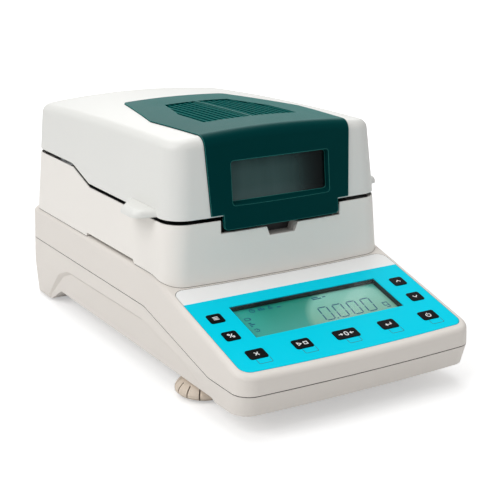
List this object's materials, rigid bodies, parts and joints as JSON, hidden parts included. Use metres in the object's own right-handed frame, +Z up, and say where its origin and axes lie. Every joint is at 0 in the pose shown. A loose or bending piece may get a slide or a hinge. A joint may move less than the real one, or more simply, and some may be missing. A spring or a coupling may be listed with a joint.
{
  "type": "moisture analyzer",
  "caption": "Bench moisture analyzer: wedge-shaped balance base with sloping keypad and display, heating chamber housing and clam-shell lid with a window.",
  "frame": {"origin": "centre of the footprint, on the surface that the feet stand on", "axes": "+Z up; the keypad faces -Y and the rear sockets +Y; +X is on the right as seen from the front"},
  "size_m": [0.225, 0.38, 0.1904],
  "materials": {
    "base_plastic": "fine-grained moulded plastic, warm off-white",
    "lid_plastic": "satin moulded plastic, cool white",
    "green_plastic": "satin moulded plastic, dark blue-green",
    "smoked_glass": "smoked pane",
    "dark_coating": "heat-resistant dark coating",
    "stainless": "brushed stainless steel",
    "polished_steel": "polished reflector",
    "aluminium": "satin aluminium",
    "circuit_board": "green circuit board",
    "transformer_core": "laminated core, varnished",
    "keypad_film": "printed polyester film, bright blue with a white band",
    "key_plastic": "black key with a plain white symbol",
    "black_plastic": "black moulded plastic",
    "white_plastic": "white moulded plastic",
    "clear_pane": "clear pane",
    "display": "green liquid-crystal display",
    "zinc_plate": "zinc-plated steel",
    "brass": "turned brass",
    "dark_rubber": "black rubber",
    "foot_plastic": "beige moulded plastic",
    "ceramic": "unglazed ceramic",
    "lamp_glass": "quartz tube"
  },
  "bodies": {
    "base": {"lower_case": "base_plastic", "upper_case": "base_plastic", "chamber_housing": "lid_plastic", "chamber_liner": "dark_coating", "heat_shield": "stainless", "draft_shield": "aluminium", "pan_support": "stainless", "load_cell": "aluminium", "load_cell_base": "aluminium", "load_arm": "aluminium", "main_board": "circuit_board", "power_board": "circuit_board", "display_board": "circuit_board", "transformer": "transformer_core", "overlay_film": "keypad_film", "display_bezel": "black_plastic", "display_window": "clear_pane", "lcd_glass": "display", "lcd_backlight": "white_plastic", "key_switches": "black_plastic", "mains_inlet": "black_plastic", "fuse_holder": "black_plastic", "switch_frame": "black_plastic", "serial_port": "zinc_plate", "foot_bushes": "brass", "rear_pads": "dark_rubber", "case_screws": "zinc_plate", "housing_screws": "zinc_plate", "lid_buffers": "dark_rubber", "hinge_brackets": "zinc_plate", "hinge_pins": "stainless"},
    "lid": {"lid_shell": "lid_plastic", "lid_cover": "green_plastic", "window_glass": "smoked_glass", "lid_liner": "dark_coating", "protective_glass": "clear_pane", "lamp_holders": "ceramic", "halogen_lamp": "lamp_glass", "reflector": "polished_steel", "temperature_sensor": "stainless", "lid_screws": "zinc_plate", "lid_hinge_leaves": "zinc_plate"},
    "pan": {"sample_pan": "aluminium", "pan_lifter": "stainless"},
    "rocker": {"power_rocker": "black_plastic"},
    "left_sole": {"left_foot_sole": "dark_rubber"},
    "right_sole": {"right_foot_sole": "dark_rubber"},
    "left_wheel": {"left_foot_wheel": "foot_plastic"},
    "right_wheel": {"right_foot_wheel": "foot_plastic"},
    "key_left_upper": {"key_left_upper": "key_plastic"},
    "key_left_lower": {"key_left_lower": "key_plastic"},
    "key_right_upper": {"key_right_upper": "key_plastic"},
    "key_right_lower": {"key_right_lower": "key_plastic"},
    "key_row_1": {"key_row_1": "key_plastic"},
    "key_row_2": {"key_row_2": "key_plastic"},
    "key_row_3": {"key_row_3": "key_plastic"},
    "key_row_4": {"key_row_4": "key_plastic"},
    "key_row_5": {"key_row_5": "key_plastic"}
  },
  "joints": [
    {"name": "lid_hinge", "type": "hinge", "parent": "base", "child": "lid", "pos_m": [0, 0.179, 0.1425], "axis": [-1, 0, 0], "range_deg": [0, 80]},
    {"name": "pan_lift", "type": "slide", "parent": "base", "child": "pan", "axis": [0, 0, 1], "range_m": [0, 0.018]},
    {"name": "rocker_tilt", "type": "hinge", "parent": "base", "child": "rocker", "pos_m": [-0.014, 0.184, 0.03], "axis": [-1, 0, 0], "range_deg": [0, 24]},
    {"name": "left_foot_slide", "type": "slide", "parent": "base", "child": "left_sole", "axis": [0, 0, -1], "range_m": [0, 0.00502]},
    {"name": "left_wheel_turn", "type": "hinge", "parent": "left_sole", "child": "left_wheel", "pos_m": [-0.082, -0.1, 0.01], "axis": [0, 0, 1], "range_deg": [0, 1440]},
    {"name": "right_foot_slide", "type": "slide", "parent": "base", "child": "right_sole", "axis": [0, 0, -1], "range_m": [0, 0.00502]},
    {"name": "right_wheel_turn", "type": "hinge", "parent": "right_sole", "child": "right_wheel", "pos_m": [0.082, -0.1, 0.01], "axis": [0, 0, 1], "range_deg": [0, 1440]},
    {"name": "key_left_upper_press", "type": "slide", "parent": "base", "child": "key_left_upper", "axis": [0, 0.2691, -0.9631], "range_m": [0, 0.0005], "stiffness_N_per_m": 400},
    {"name": "key_left_lower_press", "type": "slide", "parent": "base", "child": "key_left_lower", "axis": [0, 0.2691, -0.9631], "range_m": [0, 0.0005], "stiffness_N_per_m": 400},
    {"name": "key_right_upper_press", "type": "slide", "parent": "base", "child": "key_right_upper", "axis": [0, 0.2691, -0.9631], "range_m": [0, 0.0005], "stiffness_N_per_m": 400},
    {"name": "key_right_lower_press", "type": "slide", "parent": "base", "child": "key_right_lower", "axis": [0, 0.2691, -0.9631], "range_m": [0, 0.0005], "stiffness_N_per_m": 400},
    {"name": "key_row_1_press", "type": "slide", "parent": "base", "child": "key_row_1", "axis": [0, 0.2691, -0.9631], "range_m": [0, 0.0005], "stiffness_N_per_m": 400},
    {"name": "key_row_2_press", "type": "slide", "parent": "base", "child": "key_row_2", "axis": [0, 0.2691, -0.9631], "range_m": [0, 0.0005], "stiffness_N_per_m": 400},
    {"name": "key_row_3_press", "type": "slide", "parent": "base", "child": "key_row_3", "axis": [0, 0.2691, -0.9631], "range_m": [0, 0.0005], "stiffness_N_per_m": 400},
    {"name": "key_row_4_press", "type": "slide", "parent": "base", "child": "key_row_4", "axis": [0, 0.2691, -0.9631], "range_m": [0, 0.0005], "stiffness_N_per_m": 400},
    {"name": "key_row_5_press", "type": "slide", "parent": "base", "child": "key_row_5", "axis": [0, 0.2691, -0.9631], "range_m": [0, 0.0005], "stiffness_N_per_m": 400}
  ],
  "couplings": [
    {"joint": "left_foot_slide", "follows": "left_wheel_turn", "m_per_rad": 0.00019894},
    {"joint": "right_foot_slide", "follows": "right_wheel_turn", "m_per_rad": 0.00019894}
  ]
}
